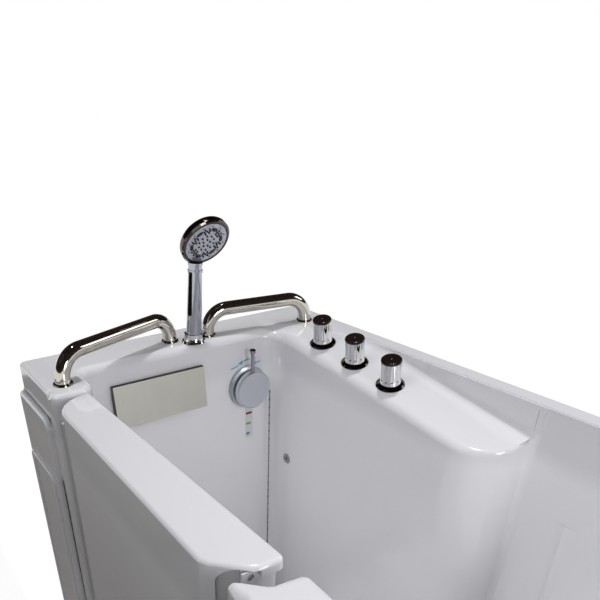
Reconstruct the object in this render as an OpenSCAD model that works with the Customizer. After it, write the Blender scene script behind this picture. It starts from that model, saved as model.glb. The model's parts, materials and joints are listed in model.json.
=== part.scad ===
// Walk-in bathtub with an inward opening door, a deck with two grab bars and a hand shower,
// three valves on a sloping ledge, a waterfall filler and a rotary waste control.
// Tub coordinates: x from the faucet end, y from the front face, z up from the floor.

/* [Overall] */
// Length of the tub from the faucet end to the seat end
tub_l = 1350; // [1280:10:1500]
// Width of the rim from the front face to the wall side
tub_w = 760; // [740:5:820]
// Height of the rim above the floor
rim_h = 980; // [940:5:1040]
// Thickness of the moulded acrylic skin
skin_t = 8; // [6:0.5:10]
// Depth of the skirt that the rim turns down into
skirt_h = 60; // [50:1:80]
// Rounding of the rim's outer edge
rim_r = 8; // [4:0.5:12]

/* [Well] */
// Width of the deck at the faucet end
deck_l = 130; // [125:1:150]
// Width of the rim at the seat end
end_rim = 50; // [44:1:80]
// Width of the rim on the wall side
back_rim = 48; // [40:1:60]
// Thickness of the front wall between its face and the well
front_t = 92; // [88:1:104]
// Height of the well floor above the ground
well_floor = 130; // [125:1:150]
// Distance from the faucet end to the front of the seat
seat_x = 905; // [895:1:950]
// Height of the seat above the ground
seat_h = 545; // [480:5:580]
// Lean of the seat's backrest from the rim down to the seat
back_lean = 40; // [0:1:60]
// Radius of the upright corners of the well
corner_r = 50; // [30:1:60]
// Radius of the rolled edge between deck and well
edge_r = 20; // [12:1:24]
// Radius of the rolled edge along the front wall and the doorway's inner side
front_edge_r = 14; // [10:1:18]
// Radius between the well walls and its floor
floor_r = 55; // [30:1:70]

/* [Valve ledge] */
// Width of the ledge that carries the valves
ledge_w = 117; // [110:1:125]
// Distance from the faucet end to the ledge's rounded end
ledge_end = 772; // [740:2:800]
// Radius of the ledge's rounded end
ledge_r = 90; // [60:1:95]
// Fall of the ledge towards the seat end, in degrees
ledge_fall = 7.2; // [4:0.1:9]
// Fall of the ledge towards the well, in degrees
ledge_tilt = 12.4; // [8:0.1:14]
// Distance from the faucet end to where the ledge begins to fall
ledge_x = 79; // [70:1:110]
// Fillet between the ledge and its back wall
ledge_fillet = 14; // [8:1:18]
// Rounding of the ledge's front edge
ledge_edge_r = 13; // [8:1:16]

/* [Doorway] */
// Distance from the faucet end to the doorway
post_w = 233; // [228:1:240]
// Width of the doorway between its jambs
gate_w = 624; // [610:1:640]
// Height of the doorway's sill above the ground
sill_h = 195; // [185:1:220]
// Radius of the doorway's lower corners
gate_r = 118; // [90:1:130]
// Depth by which the doorway widens behind its outer lip, at 45 degrees
jamb_step = 31; // [24:1:34]
// Length of the jamb's outer lip from the front face
lip_y = 12; // [9:0.5:13]
// Radius of the rolled edge around the jamb's outer lip
lip_edge_r = 8; // [6:0.5:10]
// Radius of the doorway's inner corner beside the hinges
post_r = 40; // [32:1:44]

/* [Door] */
// Gap between the door's edge and the jambs
door_gap = 4.2; // [3.8:0.1:6]
// Distance of the door's outer face in front of the rim's face
door_out = 3; // [2:0.5:6]
// Distance of the door's inner face behind the rim's face at the hinges
door_t = 73; // [71:1:78]
// Extra thickness of the door at its free end
door_flare = 18; // [12:1:20]
// Rounding of the door's outer edges
door_r = 70; // [66:1:71]
// Rounding of the door's inner edges
door_inner_r = 11; // [8:1:16]
// Rounding of the door's top edges
door_top_r = 7; // [4:0.5:10]
// Distance of the door's top below the rim
door_drop = 5; // [2:0.5:12]
// Distance of the hinge axis behind the door's inner face
hinge_back = 14; // [13:0.5:15]
// Distance of the hinge axis from the door's hinge edge
hinge_side = 2; // [0:0.5:4]
// Radius of the hinge knuckles
knuckle_r = 8; // [7:0.25:8.5]
// Radius of the hinge pins
hinge_pin_r = 4; // [3:0.25:5]
// Length of one hinge
hinge_l = 96; // [80:2:120]
// Radius of the round seal in the doorway
seal_r = 9.9; // [9:0.1:10]

/* [Apron] */
// How far the apron panel stands proud of the rim's face
apron_proud = 11; // [8:0.5:14]
// How far its moulded bead stands proud of the panel
bead_proud = 5; // [3:0.5:6]
// Width of the moulded bead
bead_w = 18; // [12:1:20]
// Corner radius of the panel
apron_r = 26; // [18:1:32]
// Radius of the panel's outer corners
apron_end_r = 12; // [10:1:20]
// Wall of the pressed panels
sheet_t = 4; // [3:0.25:5]
// Gap between the apron and the doorway
apron_gap = 36; // [30:1:42]

/* [Grab bars] */
// Diameter of the grab bar tube
bar_d = 32; // [28:0.5:34]
// Wall of the grab bar tube
bar_wall = 2; // [1.2:0.1:3]
// Height of the tube's centre above the deck
bar_h = 58; // [54:1:80]
// Bend radius of the tube's centre
bar_bend = 50; // [44:1:52]
// Radius of the ring flange at each foot
bar_flange_r = 20.5; // [19:0.5:21]

/* [Valves] */
// Distance between neighbouring valves
valve_pitch = 111; // [100:1:118]
// Distance from the faucet end to the first valve
valve_x = 259; // [255:1:270]
// Distance of the valves from the ledge's back wall
valve_back = 72; // [66:1:78]
// Radius of the domed valve flange
valve_flange_r = 30; // [27:0.5:33]
// Radius of the handle at its foot
handle_r = 21.8; // [19:0.1:24]
// Height of the handle's top above the ledge
handle_h = 64; // [52:0.5:66]
// Number of flutes around the handle
flutes = 10; // [8:1:14]

/* [Hand shower] */
// Height of the grip from its collar to the neck
grip_l = 137; // [120:1:160]
// Radius of the shower head
head_r = 57; // [50:0.5:62]
// Direction that the shower head faces, in degrees
head_turn = 4; // [-30:1:30]
// Lean of the hand shower out of the upright, in degrees
shower_lean = 4; // [2:0.5:6]
// Radius of the holder's deck flange
holder_r = 28.5; // [27:0.5:29]

/* [Fittings on the far wall] */
// Clearance between the waterfall cover and the waste control's knob
fall_gap = 78; // [70:1:107]
// Height of the waterfall cover
fall_h = 98; // [80:1:110]
// Depth of the waste control's centre below the rim
control_drop = 134; // [125:1:150]
// Distance of the waste control's centre from the ledge's front edge
control_gap = 85; // [80:1:95]
// Radius of the waste control's knob
knob_r = 48; // [40:0.5:50]
// Radius of the ball chain's balls
ball_r = 2.2; // [1.8:0.1:2.6]

/* [Frame and waste] */
// Height of the frame's rails
rail_h = 40; // [30:1:44]
// Width of the frame's square tube
rail_w = 25; // [20:1:30]
// Wall of the frame's tube
rail_t = 2; // [1.5:0.1:3]
// Radius of a levelling foot's pad
pad_r = 25; // [20:1:30]
// Radius of the waste pipe
pipe_r = 20; // [18:0.5:22]

/* [Hidden] */
$fn = 48;

seat = 0.3;
eps = 0.02;
well_x1 = tub_l - end_rim;
well_y1 = tub_w - back_rim;
ledge_y = well_y1 - ledge_w;
gate_x1 = post_w + gate_w;
door_x0 = post_w + door_gap;
door_x1 = gate_x1 - door_gap;
door_top = rim_h - door_drop;
hinge_x = door_x0 - hinge_side;
hinge_y = door_t + hinge_back;
band = 200;
well_bottom = well_floor - skin_t;
rail_z = well_bottom - rail_h;
inset = 20;
apron_top = rim_h - skirt_h - 2;
apron_foot = 22;
valve_y = well_y1 - valve_back;
holder_at = [105, 380];
bars = [[[181, 41], [72, 335]], [[86, 428], [126, 688]]];
fall_y = 155;
control_y = ledge_y - control_gap;
fall_w = control_y - knob_r - fall_gap - fall_y;
drain_at = [245, 470];
pipe_x = 82;
strike_z = rim_h - 22.5;
bolt_y = 44;
bolt_r = 5;
shank_r = 11;
bolt_travel = 55;
bolt_l = 99;
lever_x = door_x1 - 70;
lever_z = rim_h - 150;
taper = door_flare / (door_x1 - door_x0);

// Everything is drawn in tub coordinates and set down with its origin below the middle of its box
module place()
    translate([-tub_l / 2, -(tub_w - apron_proud - bead_proud) / 2, 0]) children();

// A closed moulding is worked out as one mesh
module moulded() resize([0, 0, 0]) union() children();

// Outlines are lists of corners [x, y, radius, edge radius], anticlockwise
function left(v) = [-v[1], v[0]];
function turned(v, a) = [v[0] * cos(a) - v[1] * sin(a), v[0] * sin(a) + v[1] * cos(a)];
function xy(p) = [p[0], p[1]];
function unit(v) = v / norm(v);
function at(c, i) = xy(c[(i + len(c)) % len(c)]);

// The outline grown outwards by d, or by d times each corner's own edge radius
function grown(c, d, own = false) = [for (i = [0:len(c) - 1])
    let (u = unit(at(c, i) - at(c, i - 1)), v = unit(at(c, i + 1) - at(c, i)),
         step = own ? d * c[i][3] : d, side = cross(u, v) > 0 ? 1 : -1)
    concat(at(c, i) - step * (left(u) + left(v)) / (1 + u * v), [max(c[i][2] + side * step, 0.1),
           c[i][3]])];

// The points of an outline with its corners rounded in n steps, as [x, y, corner number]
function rounded(c, n = 6) = [for (i = [0:len(c) - 1])
    let (u = unit(at(c, i) - at(c, i - 1)), v = unit(at(c, i + 1) - at(c, i)),
         side = cross(u, v) > 0 ? 1 : -1, turn = acos(u * v), r = c[i][2],
         middle = at(c, i) - u * r * tan(turn / 2) + side * r * left(u))
    for (k = [0:n]) concat(middle - side * r * turned(left(u), side * turn * k / n), [i])];

// A solid through rings of points that all have the same count
module loft(rings) {
    n = len(rings[0]);
    m = len(rings);
    polyhedron(
        points = [for (ring = rings) each ring],
        faces = concat(
            [[for (i = [0:n - 1]) i]],
            [[for (i = [n - 1:-1:0]) (m - 1) * n + i]],
            [for (j = [0:m - 2], i = [0:n - 1]) [j * n + i, (j + 1) * n + i,
                (j + 1) * n + (i + 1) % n]],
            [for (j = [0:m - 2], i = [0:n - 1]) [j * n + i, (j + 1) * n + (i + 1) % n,
                j * n + (i + 1) % n]]
        ));
}

// One flat ring of an outline at a height
function ring(c, z, d = 0, n = 6) = [for (p = rounded(grown(c, d), n)) [p[0], p[1], z]];

// A prism of an outline whose top edges are rounded
module pillow(c, z0, z1, r, n = 6, steps = 5)
    loft(concat([ring(c, z0, 0, n)],
        [for (k = [0:steps]) let (a = 90 * k / steps)
            ring(c, z1 - r + r * sin(a), -r * (1 - cos(a)), n)]));

// The same with plain edges
module prism(c, z0, z1, n = 6) loft([ring(c, z0, 0, n), ring(c, z1, 0, n)]);

function rect(x0, y0, x1, y1, r) = [[x0, y0, r, 0], [x1, y0, r, 0], [x1, y1, r, 0], [x0, y1, r, 0]];

// Height of the ledge's plane, and of its surface as it runs out softly into the deck
function ledge_plane(x, y) = rim_h - tan(ledge_fall) * (x - ledge_x) + tan(ledge_tilt) * (y - ledge_y);
function soft_min(a, b, k) = let (h = max(k - abs(a - b), 0) / k) min(a, b) - h * h * k / 4;
function eased(v) = let (s = max(0, min(1, v))) s * s * (3 - 2 * s);
function ledge_z(x, y) = let (share = eased(1 - (ledge_y - y) / corner_r))
    rim_h + 0.05 * (1 - share)
        + share * (soft_min(ledge_plane(x, max(y, ledge_y)), rim_h + 1, 4) - rim_h);
ledge_normal = unit([tan(ledge_fall), -tan(ledge_tilt), 1]);

// Turns upright things to stand square on the ledge at a point
module on_ledge(x, y) {
    lean = acos(ledge_normal[2]);
    way = atan2(ledge_normal[1], ledge_normal[0]);
    translate([x, y, ledge_plane(x, y)]) rotate([0, 0, way]) rotate([0, lean, 0])
        rotate([0, 0, -way]) children();
}

// The upper well with its doorway: each corner carries its rolled edge
function upper_plan() = [
    [post_w - 30, -eps, 0.1, edge_r], [post_w - 30, -40, 0.1, edge_r], [gate_x1 + 30, -40, 0.1, edge_r],
    [gate_x1 + 30, -eps, 0.1, edge_r], [gate_x1, -eps, 8, lip_edge_r],
        [gate_x1, lip_y, lip_r, lip_edge_r],
    [gate_x1 + jamb_step, lip_y + jamb_step, lip_r, lip_edge_r],
        [gate_x1 + jamb_step, front_t, 14, front_edge_r],
    [well_x1, front_t, corner_r, edge_r], [well_x1, well_y1, corner_r, 1], [ledge_end, well_y1, 15, 1],
    [ledge_end, ledge_y, ledge_r, ledge_edge_r], [deck_l, ledge_y, corner_r, edge_r],
    [deck_l, front_t, 20, edge_r], [post_w, front_t, post_r, front_edge_r],
        [post_w, -eps, 10, lip_edge_r]];
LEDGE_TIP = 10;
LEDGE_NOSE = 11;
LEDGE_ROOT = 12;

// Where the well's edge lies under a point of the plan: on the rim or on the sloping ledge
function edge_z(p) =
    p[2] == LEDGE_NOSE || p[2] == LEDGE_ROOT ? min(rim_h, ledge_z(p[0], p[1]))
    : p[2] == LEDGE_TIP ? rim_h + min(0, ledge_z(p[0], p[1]) - rim_h) * (1 - (p[0] - ledge_end) / 15)
    : rim_h;

module upper_well() {
    plan = upper_plan();
    base = rounded(plan);
    steps = 6;
    loft(concat(
        [[for (p = base) [p[0], p[1], rim_h - band]]],
        [for (k = [0:steps]) let (a = 90 * k / steps, shifted = rounded(grown(plan, 1 - cos(a), true)))
            [for (i = [0:len(base) - 1]) let (e = plan[base[i][2]][3])
                [shifted[i][0], shifted[i][1], edge_z(shifted[i]) - e * (1 - sin(a))]]],
        [[for (p = rounded(grown(plan, 1, true))) [p[0], p[1], rim_h + 30]]]));
}

// The recess over the ledge, as a field of heights with a fillet along its back wall
module ledge_recess() {
    columns = [for (k = [0:22]) ledge_x - 19 + k * (ledge_end + 31 - ledge_x) / 22];
    flat = well_y1 - ledge_fillet;
    rows = concat([for (k = [0:4]) ledge_y - corner_r + k * corner_r / 4],
        [for (k = [1:5]) ledge_y + k * (flat - ledge_y) / 5],
            [for (k = [1:5]) flat + ledge_fillet * sin(18 * k)]);
    rise = concat([for (k = [0:9]) 0], [for (k = [1:5]) ledge_fillet * (1 - cos(18 * k))]);
    n = len(columns);
    m = len(rows);
    low = [for (j = [0:m - 1], i = [0:n - 1]) [columns[i], rows[j],
        ledge_z(columns[i], rows[j]) + rise[j]]];
    high = [for (p = low) [p[0], p[1], rim_h + 40]];
    edge = concat([for (i = [0:n - 1]) i], [for (j = [1:m - 1]) j * n + n - 1],
        [for (i = [n - 2:-1:0]) (m - 1) * n + i],
        [for (j = [m - 2:-1:1]) j * n]);
    e = len(edge);
    floor_faces = [for (j = [0:m - 2], i = [0:n - 2])
        each [[j * n + i, j * n + i + 1, (j + 1) * n + i],
            [(j + 1) * n + i, j * n + i + 1, (j + 1) * n + i + 1]]];
    side_faces = [for (k = [0:e - 1])
        each [[n * m + edge[k], edge[(k + 1) % e], edge[k]],
              [n * m + edge[k], n * m + edge[(k + 1) % e], edge[(k + 1) % e]]]];
    polyhedron(points = concat(low, high), faces = concat(floor_faces, side_faces,
        [for (f = floor_faces) [n * m + f[2], n * m + f[1], n * m + f[0]]]));
}

// Wells with rounded floors, d larger all round
module foot_well(d = 0) {
    plan = [[deck_l, front_t, 20, 0], [seat_x, front_t, corner_r, 0], [seat_x, well_y1, corner_r, 0],
            [ledge_end, well_y1, 15, 0], [ledge_end, ledge_y, ledge_r, 0],
                [deck_l, ledge_y, corner_r, 0]];
    r = min(floor_r, 19);
    loft(concat(
        [for (k = [0:5]) let (a = 90 * k / 5) ring(plan, well_floor - d + (floor_r + d) * (1 - cos(a)),
            d - r * (1 - sin(a)))],
        [ring(plan, rim_h - band + 1, d)]));
}

module seat_well(d = 0) {
    top = rect(seat_x - 60, front_t, well_x1, well_y1, corner_r);
    low = rect(seat_x - 60, front_t, well_x1 - back_lean, well_y1, corner_r);
    r = 30;
    loft(concat(
        [for (k = [0:4]) let (a = 90 * k / 4)
            ring(low, seat_h - d + r * (1 - cos(a)), d - r * (1 - sin(a)))],
        [ring(top, rim_h - band + 1, d)]));
}

// The rolled front edge of the seat, cut across the whole well
module seat_nose() {
    nose = 35;
    translate([seat_x, front_t + corner_r, seat_h]) rotate([-90, 0, 0])
        linear_extrude(well_y1 - front_t - 2 * corner_r)
        difference() {
            translate([-1, -1]) square(nose + 1);
            translate([nose, nose]) circle(nose, $fn = 32);
        }
}

// The doorway cut from front to back, widening behind its lip and rolling into the well
function gate_ring(y, left_d, right_d, low_d, d) =
    [for (p = rounded([[post_w - left_d - d, sill_h - low_d - d, gate_r, 0],
                       [gate_x1 + right_d + d, sill_h - low_d - d, gate_r, 0],
                       [gate_x1 + right_d + d, rim_h - band + 1, 0.1, 0],
                       [post_w - left_d - d, rim_h - band + 1, 0.1, 0]], 10)) [p[0], p[1], -y]];
// The lip's wall turns by 45 degrees and back again, in arcs of the lip's radius
lip_r = 14;
function half_turn(t) = t < lip_r / sqrt(2) ? bulge(t, lip_r) : t - lip_r * (sqrt(2) - 1);
function lip_way(y) = let (t = y - lip_y + lip_r * (sqrt(2) - 1),
    s = jamb_step + 2 * lip_r * (sqrt(2) - 1) - t)
    t < s ? half_turn(t) : jamb_step - half_turn(s);
function bulge(t, r) = t <= 0 ? 0 : r - sqrt(r * r - min(t, r) * min(t, r));
module gate(d = 0) {
    stations = concat([for (s = [-1, 0, 3, 7, 12, 18, 25, 32, 40]) front_t - s],
        [for (k = [-3:3]) lip_y + jamb_step - k * 1.9 - 2], [for (k = [-3:3]) lip_y - k * 1.9 + 2],
        [5.6, 3.5, 1.8, 0, -eps, -40]);
    rotate([90, 0, 0]) loft([for (y = stations)
        let (out = bulge(8 - max(y, 0), 8), depth = min(y, front_t) - front_t)
        gate_ring(y, out + bulge(depth + post_r, post_r),
            out + lip_way(y) + bulge(depth + front_edge_r, front_edge_r),
                  out + bulge(depth + 20, 20), d)]);
}

// The skin around the doorway, square outside
module gate_frame() {
    x0 = post_w - 26;
    x1 = gate_x1 + jamb_step + 24;
    translate([x0, 0, sill_h - 26]) cube([x1 - x0, front_t + skin_t, rim_h - sill_h + 20]);
}

module tub_shell() place() color("white") moulded() difference() {
    outer = rect(0, 0, tub_l, tub_w, 14);
    union() {
        difference() {
            pillow(outer, rim_h - skirt_h, rim_h, rim_r);
            translate([0, 0, -1]) prism(grown(outer, -skin_t), rim_h - skirt_h, rim_h - skin_t + 1);
        }
        difference() {
            union() {
                prism(grown(upper_plan(), skin_t), rim_h - band, rim_h - 1);
                foot_well(skin_t);
                seat_well(skin_t);
                translate([deck_l - 5 - skin_t, ledge_y, rim_h - band])
                    cube([ledge_end - deck_l + 10, ledge_w + skin_t, band - 1]);
                gate_frame();
            }
            translate([-50, -50, rim_h - 40]) cube([tub_l + 100, 50, 100]);
            translate([0, -100, 0]) cube([tub_l, 100, rim_h]);
            ledge_hollow();
        }
    }
    upper_well();
    ledge_recess();
    foot_well();
    seat_well();
    seat_nose();
    gate();
    rim_groove();
    fitting_holes();
}

// The space under the ledge's skin, open behind for the valve bodies
module ledge_hollow() intersection() {
    plan = rect(deck_l + skin_t, ledge_y + skin_t, ledge_end - skin_t - 70, well_y1 + skin_t + 20, 5);
    loft([ring(plan, rim_h - band - 5, 0, 1),
          [for (p = rounded(plan, 1)) [p[0], p[1], ledge_plane(p[0], p[1]) - skin_t]]]);
    cube([tub_l, tub_w + 50, rim_h - skin_t]);
}

// The shallow groove that sets the rim apart from the well's edge
module rim_groove() {
    groove_w = 3;
    groove_d = 2.5;
    outer = rect(150, front_t - 8, well_x1 + 8, well_y1 + 8, corner_r);
    difference() {
        prism(outer, rim_h - groove_d, rim_h + 1);
        prism(grown(outer, -groove_w), rim_h - groove_d - 1, rim_h + 2);
        translate([0, -10, rim_h - 20]) cube([280, tub_w + 20, 40]);
        translate([0, -10, rim_h - 20]) cube([gate_x1 + jamb_step + edge_r + 30, front_t + 40, 40]);
    }
}

// Holes through the skin for everything that is bolted or piped through it
module fitting_holes() {
    for (bar = bars, foot = bar) translate([foot[0], foot[1], rim_h - 30]) {
        cylinder(r = 6, h = 60, $fn = 24);
        translate([0, 0, -10]) cylinder(r = 13, h = 40 - skin_t, $fn = 24);
    }
    translate([holder_at[0], holder_at[1], rim_h - 30]) cylinder(r = shank_r + 1, h = 60, $fn = 32);
    translate([gate_x1 + jamb_step - 14, bolt_y - 8.4, strike_z - 28.4]) cube([14, 16.8, 40.8]);
    for (i = [0:2]) on_ledge(valve_x + i * valve_pitch, valve_y)
        translate([0, 0, -30]) cylinder(r = 15, h = 60, $fn = 32);
    translate([deck_l - 30, control_y, rim_h - control_drop]) rotate([0, 90, 0])
        cylinder(r = 25, h = 60, $fn = 32);
    translate([deck_l - 30, fall_y + 30, rim_h - 120]) cube([60, fall_w - 60, 40]);
    translate([drain_at[0], drain_at[1], well_floor - 30]) cylinder(r = 28, h = 60, $fn = 32);
    translate([jet_at[0], ledge_y - 30, jet_at[1]]) rotate([-90, 0, 0])
        cylinder(r = 10, h = 60, $fn = 24);
    translate([gate_x1 + jamb_step - 2, bolt_y, strike_z]) rotate([0, 90, 0])
        cylinder(r = 9, h = 60, $fn = 24);
}

// Apron with its nested mouldings, in one pressed piece around the doorway
function apron_plan(d = 0) = grown([
    [0, apron_foot, apron_end_r, 0], [tub_l, apron_foot, apron_end_r, 0],
        [tub_l, apron_top, apron_end_r, 0],
    [gate_x1 + apron_gap, apron_top, apron_r, 0],
    [gate_x1 + apron_gap, sill_h - apron_gap, gate_r + apron_gap, 0],
    [post_w - apron_gap, sill_h - apron_gap, gate_r + apron_gap, 0],
    [post_w - apron_gap, apron_top, apron_r, 0], [0, apron_top, apron_end_r, 0]], d);

function apron_ring(d, y) = [for (p = rounded(apron_plan(d), 5)) [p[0], p[1], -y]];

module apron_form(d, back) {
    r = 9;
    rotate([90, 0, 0]) loft(concat([apron_ring(d, back)],
        [for (k = [0:4]) let (a = 90 * k / 4)
            apron_ring(d - r * (1 - cos(a)), -(apron_proud + d - r + r * sin(a)))]));
}

// A raised bead that runs round a panel field, half round in section
module bead(x0, z0, x1, z1) {
    field = rect(x0, z0, x1, z1, 18);
    steps = 6;
    rotate([90, 0, 0]) difference() {
        loft(concat([ring(field, apron_proud - 1)],
            [for (k = [0:steps]) let (a = 90 * k / steps)
                ring(field, apron_proud + bead_proud * sin(a), -bead_w / 2 * (1 - cos(a)))]));
        loft(concat(
            [for (k = [steps:-1:0]) let (a = 90 * k / steps)
                ring(field, apron_proud + bead_proud * cos(a) - (k == steps ? 1 : 0),
                    -bead_w / 2 * (1 + cos(90 - a)))],
            [ring(field, apron_proud + bead_proud + 1, -bead_w / 2)]));
    }
}

module front_apron() place() color("white") moulded() {
    difference() {
        apron_form(0, 0);
        apron_form(-sheet_t, 1);
    }
    bead(14, apron_foot + 40, post_w - apron_gap - 18, apron_top - 138);
    bead(gate_x1 + apron_gap + 18, apron_foot + 40, tub_l - 14, apron_top - 138);
    difference() {
        for (x = [40, 700, tub_l - 60]) translate([x, -apron_proud + sheet_t, apron_foot + 30])
            cube([20, apron_proud - sheet_t + inset, 60]);
        translate([-10, inset, 0]) cube([tub_l + 20, 20, 300]);
    }
}

// Flat end panels with turned edges
module end_panel() {
    y0 = 0.5;
    y1 = tub_w - 4;
    difference() {
        translate([0, y0, apron_foot]) cube([inset, y1 - y0, apron_top - apron_foot]);
        translate([sheet_t, y0 + sheet_t, apron_foot + sheet_t])
            cube([inset, y1 - y0 - 2 * sheet_t, apron_top - apron_foot - 2 * sheet_t]);
    }
}
module faucet_end_panel() place() color("white") end_panel();
module seat_end_panel() place() color("white") translate([tub_l, 0, 0]) mirror([1, 0, 0]) end_panel();

// Square tube along x, y or z
module tube_x(l) difference() {
    cube([l, rail_w, rail_h]);
    translate([-1, rail_t, rail_t]) cube([l + 2, rail_w - 2 * rail_t, rail_h - 2 * rail_t]);
}
module tube_y(l) difference() {
    cube([rail_w, l, rail_h]);
    translate([rail_t, -1, rail_t]) cube([rail_w - 2 * rail_t, l + 2, rail_h - 2 * rail_t]);
}
module tube_z(l) difference() {
    cube([rail_w, rail_w, l]);
    translate([rail_t, rail_t, -1]) cube([rail_w - 2 * rail_t, rail_w - 2 * rail_t, l + 2]);
}
frame_x1 = tub_l - inset - rail_w;
frame_y1 = tub_w - inset - rail_w;
cross_at = [330, 640, seat_x + 60, frame_x1 - 85];

module base_frame() place() color("silver") translate([0, 0, rail_z]) {
    for (y = [inset, frame_y1]) translate([inset, y, 0]) tube_x(tub_l - 2 * inset);
    for (x = concat([inset], cross_at, [frame_x1]))
        translate([x, inset + rail_w - eps, 0]) tube_y(frame_y1 - inset - rail_w + 2 * eps);
}

// Uprights under the rim and the seat, standing on the rails
module frame_posts() place() color("silver") {
    for (x = [inset, frame_x1], y = [inset, frame_y1])
        translate([x, y, well_bottom]) tube_z(rim_h - skin_t - well_bottom);
    for (x = [seat_x + 60, frame_x1 - 85], y = [inset + 110, frame_y1 - 110])
        translate([x, y, well_bottom]) tube_z(seat_h - skin_t - well_bottom);
}

feet_at = [for (x = [inset + 60, tub_l / 2, tub_l - inset - 60],
    y = [inset + rail_w / 2, frame_y1 + rail_w / 2]) [x, y]];
stud_r = 6;
module levelling_feet() place() color("silver") for (f = feet_at) translate([f[0], f[1], 0]) {
    cylinder(r1 = pad_r, r2 = pad_r - 3, h = 8);
    translate([0, 0, 8 - eps]) cylinder(r = 11, h = 8);
    cylinder(r = stud_r, h = rail_z - 0.0);
}
module foot_locknuts() place() color("silver") for (f = feet_at) translate([f[0], f[1], rail_z - 12])
    difference() {
    cylinder(r = 11, h = 12, $fn = 6);
    translate([0, 0, -1]) cylinder(r = stud_r + seat, h = 14);
}

// Door: a U-shaped slab with wide rounded outer edges
function door_ring(y, d) = [for (p = rounded([
    [door_x0 + d, sill_h + door_gap + d, gate_r - door_gap, 0],
        [door_x1 - d, sill_h + door_gap + d, gate_r - door_gap, 0],
    [door_x1 - d, rim_h + 50, 0.1, 0], [door_x0 + d, rim_h + 50, 0.1, 0]], 10)) [p[0], p[1], -y]];
door_plan = [[door_x0, -door_out, door_r, 0], [door_x1, -door_out, door_r, 0],
             [door_x1, door_t + door_flare, door_inner_r, 0], [door_x0, door_t, 5, 0]];
module door_slab() intersection() {
    rotate([90, 0, 0]) loft(concat(
        [for (k = [0:5]) let (a = 90 * k / 5)
            door_ring(door_t + door_flare - door_inner_r * (1 - cos(a)), door_inner_r * (1 - sin(a)))],
        [for (k = [0:10]) let (a = 90 * k / 10)
            door_ring(door_r * (1 - sin(a)) - door_out, door_r * (1 - cos(a)))]));
    pillow(door_plan, sill_h - 10, door_top, door_top_r, 8);
}

// Turns things to stand square on the door's tapered inner face
module on_door(x, z)
    translate([x, door_t + taper * (x - door_x0), z]) rotate([0, 0, atan(taper)]) children();

// The rebate around the door's free end: it starts below a thin lip and rounds its upper outer corner
rebate_d = 9;
rebate_y = 6;
rebate_l = 150;
plate_y = 55;
rebate_r = 24;
rebate_top = door_top - 6;
module rebate_face(d) {
    translate([rebate_y + rebate_r, rebate_top - rebate_r]) circle(rebate_r - d);
    translate([rebate_y + rebate_r, rebate_top - rebate_l])
        square([plate_y - rebate_y - rebate_r, rebate_l - d]);
    translate([rebate_y + d, rebate_top - rebate_l])
        square([plate_y - rebate_y - d, rebate_l - rebate_r]);
}
module end_rebate() {
    difference() {
        translate([door_x1 - 60, 0, 0]) rotate([90, 0, 90]) linear_extrude(80) union() {
            rebate_face(0);
            translate([plate_y - 1, rebate_top - rebate_l]) square([60, rebate_l - 11]);
        }
        prism(grown(door_plan, -rebate_d), 0, rim_h + 50, 8);
        translate([door_x1 - 72, bolt_y - 13, rebate_top - 60]) cube([60, plate_y - bolt_y + 13, 60]);
    }
    translate([door_x1 - 12, bolt_y - 13, rebate_top - 60]) cube([40, plate_y - bolt_y + 13, 60]);
}
module door_panel() place() color("white") moulded() difference() {
    door_slab();
    end_rebate();
    translate([door_x1 - bolt_l - 20, bolt_y, strike_z]) rotate([0, 90, 0])
        cylinder(r = bolt_r + 0.5, h = 140, $fn = 32);
    on_door(lever_x, lever_z) translate([0, -30, 0]) rotate([-90, 0, 0])
        cylinder(r = 9, h = 40, $fn = 32);
}

// Rubber gasket along the rebate's outer side
module end_gasket() place() color("dimgray") intersection() {
    translate([door_x1 - 60, 0, 0]) rotate([90, 0, 90]) linear_extrude(80) difference() {
        translate([0, 0.3]) rebate_face(0.3);
        translate([0, -eps]) rebate_face(21);
        translate([bolt_y - 13.5, rim_h - 500]) square(600);
    }
    difference() {
        prism(grown(door_plan, -3), 0, rim_h, 8);
        prism(grown(door_plan, -rebate_d + seat), -1, rim_h + 1, 8);
    }
}

// The round seal that closes the gap between jamb and door, as one U-shaped tube
seal_fit = 0.7;
seal_out = door_gap - seal_r - seal_fit;
seal_y = door_r - door_out - sqrt(pow(door_r + seal_r + seal_fit, 2) - pow(door_r + seal_out, 2));
seal_bend = gate_r - door_gap + seal_out;
seal_x = door_x0 - seal_out;
module door_seal() place() color("dimgray") translate([0, seal_y, 0]) {
    low = sill_h + door_gap - seal_out;
    far = door_x1 + seal_out;
    for (x = [seal_x, far]) translate([x, 0, low + seal_bend])
        cylinder(r = seal_r, h = door_top - 48 - low - seal_bend);
    translate([seal_x + seal_bend, 0, low]) rotate([0, 90, 0])
        cylinder(r = seal_r, h = far - seal_x - 2 * seal_bend);
    for (side = [0, 1]) translate([side ? far - seal_bend : seal_x + seal_bend, 0, low + seal_bend])
        rotate([90, 0, 0]) rotate([0, 0, side ? -90 : -180]) rotate_extrude(angle = 90)
            translate([seal_bend, 0]) circle(seal_r);
}

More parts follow.
